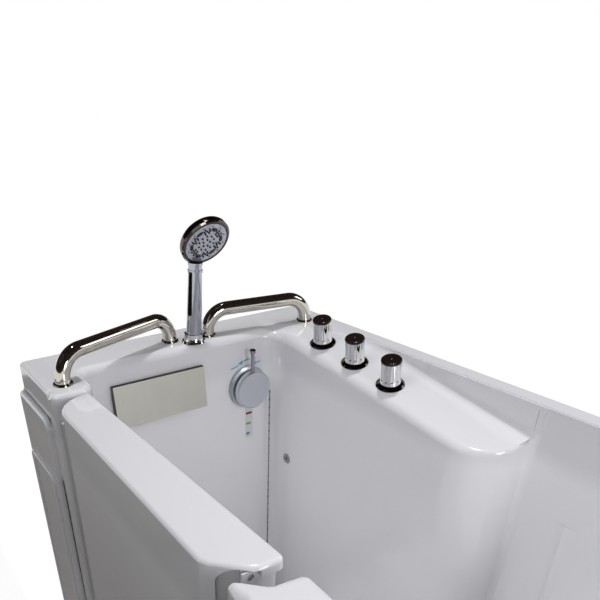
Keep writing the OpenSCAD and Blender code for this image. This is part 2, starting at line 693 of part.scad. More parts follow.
// Butt hinges behind the door's hinge edge
hinge_z = [rim_h - 240, sill_h + 190];
knuckle_l = hinge_l / 4;
leaf_t = 3;
module knuckle(z, l) translate([hinge_x, hinge_y, z]) difference() {
    cylinder(r = knuckle_r, h = l);
    translate([0, 0, -1]) cylinder(r = hinge_pin_r + 0.05, h = l + 2);
}
module hinge_jamb_leaves() place() color("silver") for (z = hinge_z) {
    for (k = [0, 2]) {
        knuckle(z + k * knuckle_l + 0.2, knuckle_l - 0.4);
        difference() {
            translate([post_w - 50, front_t + seat, z + k * knuckle_l + 0.2])
                cube([hinge_x - post_w + 50, leaf_t, knuckle_l - 0.4]);
            translate([hinge_x, hinge_y, z - 1]) cylinder(r = knuckle_r - 1, h = hinge_l + 2);
        }
    }
    difference() {
        translate([post_w - 78, front_t + seat, z]) cube([60, leaf_t, hinge_l]);
        for (dz = [14, hinge_l - 14]) translate([post_w - 60, front_t - 1, z + dz]) rotate([-90, 0, 0])
            cylinder(r = 2.6, h = 10);
    }
}
module hinge_door_leaves() place() color("silver") for (z = hinge_z) {
    for (k = [1, 3]) {
        knuckle(z + k * knuckle_l + 0.2, knuckle_l - 0.4);
        difference() {
            union() {
                on_door(hinge_x, z + k * knuckle_l + 0.2) translate([0, seat, 0])
                    cube([60, leaf_t, knuckle_l - 0.4]);
                on_door(hinge_x, z + k * knuckle_l + 0.2) translate([0, seat, 0])
                    cube([5, hinge_back - 2, knuckle_l - 0.4]);
            }
            translate([hinge_x, hinge_y, z - 1]) cylinder(r = knuckle_r - 1, h = hinge_l + 2);
        }
    }
    difference() {
        on_door(hinge_x, z) translate([24, seat, 0]) cube([50, leaf_t, hinge_l]);
        for (dz = [14, hinge_l - 14]) on_door(hinge_x, z + dz) translate([60, -1, 0])
            rotate([-90, 0, 0]) cylinder(r = 2.6, h = 10);
    }
}
module hinge_pins() place() color("silver") for (z = hinge_z) translate([hinge_x, hinge_y, z - 4]) {
    cylinder(r = hinge_pin_r, h = hinge_l + 8);
    cylinder(r = hinge_pin_r + 2, h = 3);
}

// Latch: a bolt in the door's end that a quarter-turn lever throws into the jamb
plate_t = 3;
module latch_plate() place() color("white")
    translate([door_x1 - 12 + seat, 0, 0]) difference() {
        translate([0, bolt_y - 12.5, rebate_top - 58]) cube([plate_t, 22.5, 56]);
        translate([-1, bolt_y, strike_z]) rotate([0, 90, 0]) cylinder(r = bolt_r + 0.05, h = 20);
    }
module latch_bolt() place() color("silver")
    translate([door_x1 - 12 - bolt_l, bolt_y, strike_z]) rotate([0, 90, 0])
        cylinder(r = bolt_r, h = bolt_l + 1);
module latch_rose() place() color("silver") on_door(lever_x, lever_z) translate([0, seat, 0])
    rotate([-90, 0, 0])
    difference() {
        cylinder(r = 20, h = 6);
        translate([0, 0, -1]) cylinder(r = 7.05, h = 10);
    }
module latch_lever() place() color("silver") on_door(lever_x, lever_z) rotate([-90, 0, 0]) {
    translate([0, 0, -20]) cylinder(r = 7, h = 44);
    translate([0, 0, 24 - eps]) cylinder(r = 11, h = 12);
    translate([0, 0, 30]) rotate([0, -90, 0]) cylinder(r = 5.5, h = 78);
    translate([-78, 0, 30]) sphere(5.5);
}
module strike_plate() place() color("silver") translate([gate_x1 + jamb_step - plate_t - seat, 0, 0])
    difference() {
    translate([0, bolt_y - 8, strike_z - 28]) cube([plate_t, 16, 40]);
    translate([-1, bolt_y, strike_z]) rotate([0, 90, 0]) cylinder(r = bolt_r + 1, h = 20);
}

// Grab bar: one tube with two wide bends, from foot to foot
module grab_bar(feet) {
    span = norm(feet[1] - feet[0]);
    way = atan2(feet[1][1] - feet[0][1], feet[1][0] - feet[0][0]);
    leg = bar_h - bar_bend;
    translate([feet[0][0], feet[0][1], rim_h + 3.3]) rotate([0, 0, way]) {
        for (x = [0, span]) translate([x, 0, 0]) difference() {
            cylinder(r = bar_d / 2, h = leg - 3.3);
            translate([0, 0, 6]) cylinder(r = bar_d / 2 - bar_wall, h = leg);
        }
        for (x = [0, span]) translate([x, 0, -3.3 - 26]) cylinder(r = 5, h = 30);
        translate([0, 0, leg - 3.3]) {
            translate([bar_bend, 0, bar_bend]) rotate([0, 90, 0]) bar_tube(span - 2 * bar_bend);
            translate([bar_bend, 0, 0]) rotate([90, 0, 0]) rotate([0, 0, 90]) bar_turn();
            translate([span - bar_bend, 0, 0]) rotate([90, 0, 0]) bar_turn();
        }
    }
}
module bar_tube(l) difference() {
    cylinder(r = bar_d / 2, h = l);
    translate([0, 0, -1]) cylinder(r = bar_d / 2 - bar_wall, h = l + 2);
}
module bar_turn() rotate_extrude(angle = 90) translate([bar_bend, 0]) difference() {
    circle(bar_d / 2);
    circle(bar_d / 2 - bar_wall);
}
module grab_bar_front() place() color("silver") grab_bar(bars[0]);
module grab_bar_back() place() color("silver") grab_bar(bars[1]);
module grab_bar_flanges() place() color("silver") for (bar = bars, foot = bar)
    translate([foot[0], foot[1], rim_h]) difference() {
        cylinder(r1 = bar_flange_r, r2 = bar_flange_r - 1, h = 3);
        translate([0, 0, -1]) cylinder(r = 5.3, h = 5);
    }
module grab_bar_nuts() place() color("silver") for (bar = bars, foot = bar)
    translate([foot[0], foot[1], rim_h - skin_t - 8]) difference() {
        cylinder(r = 10, h = 8, $fn = 6);
        translate([0, 0, -1]) cylinder(r = 5.3, h = 10);
    }

// Shower holder: a deck flange, a faceted collar and a threaded shank, bored along the shower's lean
lean_way = 60;
grip_z = 19;
foot_l = 18.4;
module leaning() translate([holder_at[0], holder_at[1], rim_h])
    rotate([0, 0, lean_way]) rotate([0, shower_lean, 0]) rotate([0, 0, -lean_way]) children();
module shower_holder() place() color("silver") difference() {
    translate([holder_at[0], holder_at[1], rim_h]) {
        cylinder(r1 = holder_r, r2 = holder_r - 2, h = 4);
        translate([0, 0, 4 - eps]) cylinder(r1 = holder_r - 6, r2 = 21, h = 5);
        translate([0, 0, 9 - 2 * eps]) cylinder(r = 21.5, h = 14, $fn = 12);
        translate([0, 0, -45]) cylinder(r = shank_r, h = 46);
    }
    leaning() translate([0, 0, grip_z]) cylinder(r = 40, h = 20);
    leaning() translate([0, 0, grip_z - foot_l]) cylinder(r = 10.5, h = 60);
    translate([holder_at[0], holder_at[1], rim_h - 50]) cylinder(r = 7, h = 60);
}
module holder_nut() place() color("silver") translate([holder_at[0], holder_at[1], rim_h - skin_t - 10])
    difference() {
    cylinder(r = 16.5, h = 9.7, $fn = 6);
    translate([0, 0, -1]) cylinder(r = shank_r + seat, h = 12);
}

// Hand shower: it stands in the holder on its tapered foot
module shower_at() leaning() translate([0, 0, grip_z + seat]) children();
module shower_grip() place() color("silver") shower_at() {
    translate([0, 0, -foot_l]) cylinder(r = 10.42, h = foot_l + 1);
    cylinder(r1 = 18, r2 = 17.6, h = 6);
    translate([0, 0, 6 - eps]) cylinder(r1 = 17.6, r2 = 15.6, h = grip_l - 6);
}
neck_l = 20;
module shower_neck() place() color("silver") shower_at() translate([0, 0, grip_l + seat]) {
    cylinder(r = 17, h = 5);
    translate([0, 0, 5 - eps]) cylinder(r = 15.4, h = neck_l - 10);
    translate([0, 0, neck_l - 5 - 2 * eps]) cylinder(r = 16.6, h = 5);
}
head_tilt = 121;
head_fwd = 26;
head_up = 48;
module head_at() shower_at() translate([head_fwd, 8, grip_l + neck_l + head_up])
    rotate([0, 0, head_turn]) rotate([0, head_tilt, 0]) children();
module shower_head() place() color("silver") difference() {
    union() {
        head_at() rotate_extrude($fn = 96) polygon(concat(
            [[0, -26]],
            [for (a = [80:-8:8]) [head_r * cos(a) * 0.985, -6 - 20 * sin(a)]],
            [[head_r, -5], [head_r, 3], [head_r - 3, 6], [head_r - 7, 6], [head_r - 8, 3], [0, 3]]));
        difference() {
            shower_at() translate([0, 0, grip_l + neck_l - 1]) rotate([0, 16, 0]) translate([-1, 0, 0])
                cylinder(r1 = 15, r2 = 12, h = 35);
            head_at() translate([0, 0, 2]) cylinder(r = head_r + 20, h = 60);
        }
    }
    shower_at() translate([0, 0, grip_l - 10]) cylinder(r = 17.4, h = neck_l + 2 * seat + 10);
}
module spray_face() place() color("gray") head_at() translate([0, 0, 3 + seat]) {
    cylinder(r = head_r - 8.6, h = 2.4);
    for (k = [0:11]) rotate([0, 0, 30 * k]) translate([head_r - 15, 0, 2.4 - eps])
        cylinder(r1 = 1.6, r2 = 1.1, h = 1.6);
}

// Valves on the ledge: domed flanges, fluted handles with dark caps, brass bodies below
module at_valve(i) on_ledge(valve_x + i * valve_pitch, valve_y) children();
module valve_flanges() place() color("dimgray") for (i = [0:2]) at_valve(i) difference() {
    rotate_extrude() polygon([[0, 0], [valve_flange_r, 0], [valve_flange_r, 1.5],
        [valve_flange_r - 3, 4],
                              [valve_flange_r - 8, 6.5], [valve_flange_r - 14, 8], [0, 8]]);
    translate([0, 0, -1]) cylinder(r = 13.3, h = 20);
}
module valve_bodies() place() color("gold") for (i = [0:2]) at_valve(i) {
    translate([0, 0, -34]) cylinder(r = 13, h = 40);
    translate([0, 0, 6 - eps]) cylinder(r = 7, h = 20);
    difference() {
        translate([0, 0, -72]) cylinder(r = 17, h = 38 + eps);
        translate([0, 0, -73]) cylinder(r = 9.3, h = 15);
    }
}
module valve_nuts() place() color("gold") for (i = [0:2]) at_valve(i)
    translate([0, 0, -skin_t - 9 - seat]) difference() {
    cylinder(r = 21, h = 9, $fn = 6);
    translate([0, 0, -1]) cylinder(r = 13.3, h = 12);
}
module mixer_pipe() place() color("gold") {
    first = [valve_x, valve_y, ledge_plane(valve_x, valve_y)] - 46 * ledge_normal;
    last = [valve_x + 2 * valve_pitch, valve_y, ledge_plane(valve_x + 2 * valve_pitch, valve_y)]
        - 46 * ledge_normal;
    run = unit(last - first);
    gap = norm(last - first) / 2;
    for (i = [0, 1]) translate(first + run * (gap * i + 17.2)) rotate([0, 90 + ledge_fall, 0])
        cylinder(r = 9, h = gap - 34.4);
}
module handle(i) at_valve(i) difference() {
    union() {
        translate([0, 0, 8.5]) cylinder(r1 = handle_r, r2 = handle_r - 0.8, h = 8);
        translate([0, 0, 16.5 - eps])
            cylinder(r1 = handle_r - 0.8, r2 = handle_r - 1.6, h = handle_h - 16.5 - 6);
    }
    for (k = [0:flutes - 1]) rotate([0, 0, 360 / flutes * k]) translate([handle_r + 2.2, 0, 16])
        cylinder(r = 4.4, h = 60);
    translate([0, 0, 0]) cylinder(r = 7.05, h = 27);
}
module handle_cap(i) at_valve(i) translate([0, 0, handle_h - 6 + seat]) rotate_extrude()
    polygon([[0, 0], [handle_r - 0.6, 0], [handle_r - 0.4, 1.2], [handle_r - 0.6, 3.4],
        [handle_r - 1.8, 4.9],
             [handle_r - 4, 5.7], [2.2, 5.7], [2.2, 5.2], [0, 5.2]]);
module handle_1() place() color("silver") handle(0);
module handle_2() place() color("silver") handle(1);
module handle_3() place() color("silver") handle(2);
module handle_cap_1() place() color("black") handle_cap(0);
module handle_cap_2() place() color("black") handle_cap(1);
module handle_cap_3() place() color("black") handle_cap(2);

// Waterfall: a steel cover that leans out over a slot box in the wall
module waterfall_cover() place() color("silver") {
    top = rim_h - 51;
    low = top - fall_h;
    translate([deck_l + seat, fall_y + fall_w, 0]) rotate([90, 0, 0]) linear_extrude(fall_w)
        difference() {
        polygon([[0, low + 8], [0, top], [9, top], [10, top - 2], [20, low + 1], [19, low]]);
        polygon([[2, low - 1], [2, top - 3], [6.5, top - 3], [16.5, low + 3], [16.5, low - 1]]);
    }
    for (y = [fall_y, fall_y + fall_w - 2]) translate([deck_l + seat, y + 2, 0]) rotate([90, 0, 0])
        linear_extrude(2)
        polygon([[0, low + 8], [0, top], [9, top], [19, low]]);
}
module waterfall_box() place() color("silver") difference() {
    union() {
        translate([deck_l - skin_t - 32, fall_y + 34, rim_h - 116])
            cube([32 + skin_t, fall_w - 68, 32]);
        translate([deck_l - skin_t - 24, fall_y + fall_w / 2, rim_h - 146]) cylinder(r = 11, h = 40);
    }
    translate([deck_l - skin_t - 30, fall_y + 36, rim_h - 114]) cube([60, fall_w - 72, 28]);
    translate([deck_l - skin_t - 24, fall_y + fall_w / 2, rim_h - 150]) cylinder(r = 8, h = 40);
}

// Waste control: a ring on the wall, a turning knob with its pin lever, and the pipes behind
module on_far_wall(x) translate([deck_l + x, control_y, rim_h - control_drop])
    rotate([0, 90, 0]) children();
module control_ring() place() color("silver") on_far_wall(seat) difference() {
    union() {
        cylinder(r = 34, h = 3);
        translate([0, 0, 3 - eps]) cylinder(r1 = knob_r + 3, r2 = knob_r + 5, h = 3);
        translate([0, 0, 6 - 2 * eps]) cylinder(r1 = knob_r + 5, r2 = knob_r + 1, h = 7);
        translate([0, 0, 12]) cylinder(r = 22, h = 6);
    }
    translate([0, 0, -1]) cylinder(r = 8.05, h = 30);
    for (k = [0:5]) rotate([0, 0, 60 * k + 30]) translate([15, 0, -1]) cylinder(r = 4, h = 30);
}
module control_knob() place() color("silver") on_far_wall(seat) {
    translate([0, 0, 18.3]) cylinder(r1 = knob_r - 4, r2 = knob_r, h = 5);
    translate([0, 0, 23.3 - eps]) cylinder(r = knob_r, h = 9);
    translate([0, 0, 32.3 - 2 * eps]) cylinder(r1 = knob_r, r2 = knob_r - 3.5, h = 3.5);
    translate([0, 0, -30]) cylinder(r = 8, h = 50);
}
module control_lever() place() color("silver")
    translate([deck_l + 28, control_y, rim_h - control_drop + knob_r + seat]) {
        cylinder(r = 4.5, h = 44);
        translate([0, 0, 44 - eps]) cylinder(r1 = 6.5, r2 = 7.5, h = 9);
        translate([0, 0, 53 - 2 * eps]) cylinder(r1 = 7.5, r2 = 5, h = 2);
    }
module overflow_elbow() place() color("gray") difference() {
    union() {
        translate([pipe_x - 24, control_y, rim_h - control_drop]) rotate([0, 90, 0])
            cylinder(r = 34, h = deck_l - skin_t - seat - pipe_x + 24);
        translate([pipe_x, control_y, rim_h - control_drop - 60]) cylinder(r = pipe_r + 4, h = 60);
    }
    translate([pipe_x - 20, control_y, rim_h - control_drop]) rotate([0, 90, 0])
        cylinder(r = 30, h = 80);
    translate([pipe_x, control_y, rim_h - control_drop - 62]) cylinder(r = pipe_r + 0.05, h = 60);
    translate([pipe_x, control_y, rim_h - control_drop - 40]) cylinder(r = pipe_r - 3, h = 40);
}
waste_z = 58;
module overflow_pipe() place() color("gray") translate([pipe_x, control_y, waste_z + pipe_r + 10])
    difference() {
    cylinder(r = pipe_r, h = rim_h - control_drop - waste_z - pipe_r - 10 - 24);
    translate([0, 0, -1]) cylinder(r = pipe_r - 3, h = rim_h);
}
module waste_valve_body() place() color("gray") difference() {
    union() {
        translate([pipe_x - 32, control_y, waste_z]) rotate([0, 90, 0])
            cylinder(r = pipe_r + 4, h = drain_at[0] - pipe_x + 32 - 34);
        translate([pipe_x, control_y, waste_z]) cylinder(r = pipe_r + 4, h = pipe_r + 24);
        translate([pipe_x, control_y, 20]) cylinder(r = pipe_r + 4, h = waste_z - 20);
        translate([150, control_y - pipe_r - 16, waste_z]) rotate([-90, 0, 0]) cylinder(r = 11, h = 20);
    }
    translate([pipe_x - 28, control_y, waste_z]) rotate([0, 90, 0]) cylinder(r = pipe_r - 2, h = 260);
    translate([pipe_x, control_y, waste_z + pipe_r + 10]) cylinder(r = pipe_r + 0.05, h = 40);
    translate([pipe_x, control_y, waste_z]) cylinder(r = pipe_r - 3, h = 60);
    translate([pipe_x, control_y, 10]) cylinder(r = pipe_r - 2, h = 48);
    translate([pipe_x, control_y, 10]) cylinder(r = pipe_r + 0.2, h = 35);
    translate([150, control_y - pipe_r - 30, waste_z]) rotate([-90, 0, 0]) cylinder(r = 5.05, h = 50);
}
module waste_valve_lever() place() color("gray") translate([150, control_y - pipe_r - 16.3, waste_z])
    rotate([90, 0, 0]) {
    cylinder(r = 9, h = 6);
    translate([0, -5, 1]) cube([40, 10, 4]);
    translate([0, 0, -34]) cylinder(r = 5, h = 36);
    translate([0, 0, -34.2]) rotate([90, 0, 0]) translate([0, -0.5, -14]) cylinder(r = 5, h = 28);
}

// Floor drain, its plug and the chain that holds it
module drain_flange() place() color("silver") translate([drain_at[0], drain_at[1], well_floor + seat])
    difference() {
    union() {
        cylinder(r1 = 36, r2 = 33, h = 3);
        translate([0, 0, -26]) cylinder(r = 26, h = 27);
    }
    translate([0, 0, -2]) cylinder(r1 = 21, r2 = 23, h = 6);
    translate([0, 0, -30]) cylinder(r = 21, h = 32);
}
module drain_body() place() color("gray") translate([drain_at[0], drain_at[1], 0]) difference() {
    union() {
        translate([0, 0, waste_z - 24]) cylinder(r = 31, h = well_bottom - seat - waste_z + 24);
        translate([-60, control_y - drain_at[1], waste_z]) rotate([0, 90, 0])
            cylinder(r = pipe_r - 2.3, h = 60);
    }
    translate([0, 0, waste_z - 20]) cylinder(r = 26.3, h = 100);
    translate([-62, control_y - drain_at[1], waste_z]) rotate([0, 90, 0])
        cylinder(r = pipe_r - 5, h = 60);
}
module drain_plug() place() color("black") translate([drain_at[0], drain_at[1], well_floor + seat]) {
    translate([0, 0, 3.3]) cylinder(r1 = 26, r2 = 24, h = 4);
    translate([0, 0, -10]) cylinder(r1 = 18, r2 = 20.5, h = 13.3 + eps);
    translate([0, 0, 7.3 - eps]) cylinder(r = 3, h = 5);
}

chain_top = [deck_l + 26, control_y + knob_r + 5, rim_h - control_drop - 18];
chain_low = [deck_l + 26, control_y + knob_r + 5, well_floor + 36];
chain_end = [drain_at[0] - 4.5, drain_at[1] + 4.5, well_floor + 13];
pitch = 2 * ball_r + 1.2;
function bend_point(t) = let (a = chain_low, b = [chain_low[0] + 14, chain_low[1] - 12, well_floor + 3],
    c = [chain_end[0] - 30, chain_end[1] + 26, well_floor + 3], d = chain_end)
    pow(1 - t, 3) * a + 3 * pow(1 - t, 2) * t * b + 3 * (1 - t) * t * t * c + pow(t, 3) * d;
module link(p, q) {
    v = q - p;
    translate(p) rotate([0, acos(v[2] / norm(v)), atan2(v[1], v[0])])
        cylinder(r = 0.7, h = norm(v), $fn = 16);
}
module plug_chain() place() color("silver") {
    n = floor((chain_top[2] - chain_low[2]) / (4 * pitch));
    for (k = [0:n]) translate([chain_top[0], chain_top[1],
        chain_low[2] + k * (chain_top[2] - chain_low[2]) / n])
        sphere(ball_r);
    link(chain_low, chain_top);
    bends = 16;
    for (k = [0:bends - 1]) {
        link(bend_point(k / bends), bend_point((k + 1) / bends));
        translate(bend_point((k + 1) / bends)) sphere(ball_r);
    }
    translate(chain_top - [0, 4, 0]) rotate([-90, 0, 0]) cylinder(r = 1.5, h = 5);
}

// Small water jet on the back wall
jet_at = [195, rim_h - 341];
module water_jet() place() color("silver") translate([jet_at[0], ledge_y - seat, jet_at[1]])
    rotate([90, 0, 0]) difference() {
    union() {
        cylinder(r1 = 14, r2 = 12, h = 3);
        translate([0, 0, -24]) cylinder(r = 9, h = 25);
    }
    translate([0, 0, -30]) cylinder(r = 5, h = 40);
    translate([0, 0, 0]) cylinder(r1 = 5, r2 = 8, h = 3 + eps);
}

tub_shell();
front_apron();
faucet_end_panel();
seat_end_panel();
base_frame();
frame_posts();
levelling_feet();
foot_locknuts();
door_panel();
door_seal();
hinge_jamb_leaves();
hinge_door_leaves();
hinge_pins();
end_gasket();
latch_plate();
latch_bolt();
latch_rose();
latch_lever();
strike_plate();
grab_bar_front();
grab_bar_back();
grab_bar_flanges();
grab_bar_nuts();
shower_holder();
holder_nut();
shower_grip();
shower_neck();
shower_head();
spray_face();
valve_flanges();
valve_bodies();
valve_nuts();
mixer_pipe();
handle_1();
handle_2();
handle_3();
handle_cap_1();
handle_cap_2();
handle_cap_3();
waterfall_cover();
waterfall_box();
control_ring();
control_knob();
control_lever();
overflow_elbow();
overflow_pipe();
waste_valve_body();
waste_valve_lever();
drain_flange();
drain_body();
drain_plug();
plug_chain();
water_jet();
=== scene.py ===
"""Looks for the walk-in bathtub: a white moulded shell with a side door, chrome bars, taps and hand shower.

Lengths are metres in the row frame: +X from the faucet end to the seat end, +Y from the
door side to the wall side, +Z up from the floor.
"""

import json
import math

import bmesh
import bpy
from mathutils import Matrix, Vector
from mathutils.bvhtree import BVHTree

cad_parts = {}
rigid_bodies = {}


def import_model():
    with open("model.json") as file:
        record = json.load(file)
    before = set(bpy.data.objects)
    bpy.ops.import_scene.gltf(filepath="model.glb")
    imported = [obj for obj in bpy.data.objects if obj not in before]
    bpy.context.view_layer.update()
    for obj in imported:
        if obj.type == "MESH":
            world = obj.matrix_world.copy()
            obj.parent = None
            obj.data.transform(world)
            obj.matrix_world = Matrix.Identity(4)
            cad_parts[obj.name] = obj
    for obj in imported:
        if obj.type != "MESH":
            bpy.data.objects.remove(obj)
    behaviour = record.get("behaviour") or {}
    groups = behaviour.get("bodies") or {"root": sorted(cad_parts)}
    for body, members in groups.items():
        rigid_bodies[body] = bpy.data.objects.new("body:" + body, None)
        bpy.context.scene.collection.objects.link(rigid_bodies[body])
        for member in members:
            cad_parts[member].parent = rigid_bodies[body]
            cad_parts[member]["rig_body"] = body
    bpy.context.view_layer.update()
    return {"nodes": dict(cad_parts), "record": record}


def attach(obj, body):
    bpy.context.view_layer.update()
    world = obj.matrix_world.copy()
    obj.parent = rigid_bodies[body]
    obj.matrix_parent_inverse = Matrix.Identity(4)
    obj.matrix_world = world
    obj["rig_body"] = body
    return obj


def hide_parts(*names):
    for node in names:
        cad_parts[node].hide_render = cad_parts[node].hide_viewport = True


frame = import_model()

X, Y, Z = 0, 1, 2
SLOT_OF = {row["node"]: row["material_slot"] for row in frame["record"]["subparts"]}


# ---------------------------------------------------------------- camera

VIEW_PLACE = (0.629, -0.636, 1.439)
VIEW_YAW, VIEW_PITCH, VIEW_ROLL = 31.5, 31.3, -1.3  # degrees
FRAME_PIXELS = 600
FOCAL_PIXELS = 601
OPTICAL_CENTRE = (230, 475)  # pixels from the top left
SENSOR_WIDTH = 36  # millimetres
NEAREST_SEEN = 0.02


def aim_camera():
    """The photograph's viewpoint: at the seat end, outside the door, looking down into the tub."""
    yaw, pitch, roll = (math.radians(a) for a in (VIEW_YAW, VIEW_PITCH, VIEW_ROLL))
    flat = math.cos(pitch)
    ahead = Vector((-math.cos(yaw) * flat, math.sin(yaw) * flat, -math.sin(pitch)))
    level = Vector((math.sin(yaw), math.cos(yaw), 0))
    upright = level.cross(ahead)
    right = math.cos(roll) * level + math.sin(roll) * upright
    up = -math.sin(roll) * level + math.cos(roll) * upright
    lens = bpy.data.cameras.new("viewpoint")
    lens.sensor_width = SENSOR_WIDTH
    lens.lens = SENSOR_WIDTH * FOCAL_PIXELS / FRAME_PIXELS
    lens.shift_x = (FRAME_PIXELS / 2 - OPTICAL_CENTRE[0]) / FRAME_PIXELS
    lens.shift_y = (OPTICAL_CENTRE[1] - FRAME_PIXELS / 2) / FRAME_PIXELS
    lens.clip_start = NEAREST_SEEN
    camera = bpy.data.objects.new("viewpoint", lens)
    bpy.context.scene.collection.objects.link(camera)
    turn = Matrix((right, up, -ahead)).transposed().to_4x4()
    camera.matrix_world = Matrix.Translation(VIEW_PLACE) @ turn
    bpy.context.scene.camera = camera


# ---------------------------------------------------------------- finishes


def paint(red, green, blue):
    """A colour written as it shows on screen, 0 to 255, as a shader colour."""
    shown = [c / 255 for c in (red, green, blue)]
    return [c / 12.92 if c <= 0.04045 else ((c + 0.055) / 1.055) ** 2.4 for c in shown] + [1]


class Value:
    """A shader socket. Sums and products written with it add their Math nodes."""

    def __init__(self, finish, socket):
        self.finish = finish
        self.socket = socket

    def maths(self, operation, *terms):
        return self.finish.node("ShaderNodeMath", {"operation": operation}, dict(enumerate(terms)))

    def __add__(self, other):
        return self.maths("ADD", self, other)

    def __sub__(self, other):
        return self.maths("SUBTRACT", self, other)

    def __rsub__(self, other):
        return self.maths("SUBTRACT", other, self)

    def __mul__(self, other):
        return self.maths("MULTIPLY", self, other)

    __radd__ = __add__
    __rmul__ = __mul__


class Tree:
    """A node tree that is built node by node."""

    def __init__(self, tree):
        self.tree = tree

    def node(self, kind, settings=None, inputs=None, output=0):
        made = self.tree.nodes.new(kind)
        for setting, value in (settings or {}).items():
            setattr(made, setting, value)
        for key, value in (inputs or {}).items():
            self.feed(made.inputs[key], value)
        return Value(self, made.outputs[output])

    def feed(self, socket, value):
        """Links a Value to the socket, or sets the socket to a constant."""
        if isinstance(value, Value):
            self.tree.links.new(value.socket, socket)
        else:
            socket.default_value = value

    def mix(self, share, first, second):
        """A blend of two colours, all first at a share of 0."""
        colours = {0: share, 6: first, 7: second}  # the mix node's sockets for colours
        return self.node("ShaderNodeMix", {"data_type": "RGBA"}, colours, output=2)

    def band(self, value, low, high):
        """0 below low, 1 above high, smooth between; the other way round when low is the larger."""
        return self.node(
            "ShaderNodeMapRange",
            {"interpolation_type": "SMOOTHSTEP"},
            {"Value": value, "From Min": low, "From Max": high},
        )

    def seen_or_mirrored(self):
        """1 for rays from the camera and for mirrored and transmitted ones, 0 for the rest."""
        kinds = ("Is Camera Ray", "Is Glossy Ray", "Is Transmission Ray")
        rays = [self.node("ShaderNodeLightPath", output=kind) for kind in kinds]
        while len(rays) > 1:
            rays.append(rays[0].maths("MAXIMUM", rays.pop(0), rays.pop(0)))
        return rays[0]


class Finish(Tree):
    """One material, round its Principled shader."""

    def __init__(self, name, **constants):
        self.material = bpy.data.materials.new(name)
        self.material.use_nodes = True
        super().__init__(self.material.node_tree)
        self.shader = self.tree.nodes["Principled BSDF"]
        self.give(**constants)
        self.place = self.node("ShaderNodeTexCoord", output="Object")

    def give(self, **sockets):
        """Sets the shader's own sockets, to constants or to what changes over the surface."""
        for socket, value in sockets.items():
            self.feed(self.shader.inputs[socket.replace("_", " ")], value)

    def noise(self, size, detail=2.0, stretch=(1, 1, 1), roughness=0.5):
        """Cloudy values around 0.5, size metres across; stretch squeezes them along an axis."""
        where = self.node(
            "ShaderNodeVectorMath", {"operation": "MULTIPLY"}, {0: self.place, 1: stretch}
        )
        cloud = {"Vector": where, "Scale": 1 / size, "Detail": detail, "Roughness": roughness}
        return self.node("ShaderNodeTexNoise", inputs=cloud)

    def along(self, axis):
        """The place along X, Y or Z."""
        return self.node("ShaderNodeSeparateXYZ", inputs={0: self.place}, output=axis)

    def bump(self, height, depth):
        """Relief depth metres high from a value of 0 to 1."""
        relief = {"Height": height, "Distance": depth, "Strength": 1.0}
        return self.node("ShaderNodeBump", inputs=relief)


ACRYLIC = (248, 247, 249)
ACRYLIC_SHADE = (243, 243, 246)
# Painted light and shade: the rim and deck are painted darker and the well's inside lighter, by height
# alone
ACRYLIC_RIM_PAINTED_SHADE = (231, 231, 235)
ACRYLIC_HAIRS = (205, 209, 216)
RIM_SHADE_FROM, RIM_SHADE_FULL = 0.86, 0.91  # heights between which the inside's painted lighter tone turns into the rim's painted darker one


def acrylic_finish():
    """Cast sheet formed over a mould: glossy, faintly wavy, with hair scratches; light and shade are
    painted by height, the inside lighter and the rim and deck darker.
    """
    finish = Finish("gloss_white_acrylic", IOR=1.49, Coat_Roughness=0.04)
    cloud = finish.noise(0.22, detail=3)
    hairs = finish.band(finish.noise(0.012, detail=4, stretch=(1, 9, 1)), 0.63, 0.72)
    inside = finish.mix(cloud, paint(*ACRYLIC_SHADE), paint(*ACRYLIC))
    # painted shade: above these heights the rim and deck take the darker tone, below them the inside keeps
    # the lighter one
    rim_painted_shade = finish.band(finish.along(Z), RIM_SHADE_FROM, RIM_SHADE_FULL)
    tone = finish.mix(rim_painted_shade, inside, paint(*ACRYLIC_RIM_PAINTED_SHADE))
    waves = finish.noise(0.0045, detail=1) + 2.5 * finish.noise(0.06, detail=0)
    finish.give(
        Base_Color=finish.mix(hairs * 0.12, tone, paint(*ACRYLIC_HAIRS)),
        Roughness=0.1 + 0.05 * cloud + 0.12 * hairs,
        Coat_Weight=0.5 - 0.2 * hairs,
        Normal=finish.bump(waves, 0.00005),
    )
    return finish.material


def chrome_finish(name, colour=(226, 226, 226), stain=(190, 186, 178), roughness=0.05):
    """Bright plating with water marks and fine wiping scratches."""
    finish = Finish(name, Metallic=1.0)
    marks = finish.band(finish.noise(0.02, detail=4), 0.56, 0.72)
    wiping = finish.noise(0.004, detail=3, stretch=(1, 1, 12))
    finish.give(
        Base_Color=finish.mix(marks * 0.35, paint(*colour), paint(*stain)),
        Roughness=roughness + 0.05 * marks + 0.03 * wiping,
        Normal=finish.bump(wiping, 0.00001),
    )
    return finish.material


def brushed_finish(name, colour, dark, roughness, grain=(1, 1, 30), grain_size=0.006):
    """Satin metal with grinding lines square to the squeezed axis."""
    finish = Finish(name, Metallic=1.0)
    lines = finish.noise(grain_size, detail=4, stretch=grain, roughness=0.65)
    cloud = finish.noise(0.07, detail=2)
    finish.give(
        Base_Color=finish.mix(0.35 * lines + 0.5 * cloud, paint(*dark), paint(*colour)),
        Roughness=roughness + 0.14 * lines,
        Normal=finish.bump(lines, 0.00002),
    )
    return finish.material


def plastic_finish(name, colour, dark, roughness, texture=0.0015, depth=0.00004):
    """Moulded plastic or rubber with a fine skin and a little dust in cloudy patches."""
    finish = Finish(name)
    skin = finish.noise(texture, detail=3)
    cloud = finish.noise(0.05, detail=3)
    finish.give(
        Base_Color=finish.mix(0.6 * cloud + 0.25 * skin, paint(*dark), paint(*colour)),
        Roughness=roughness + 0.12 * cloud,
        Normal=finish.bump(skin, depth),
    )
    return finish.material


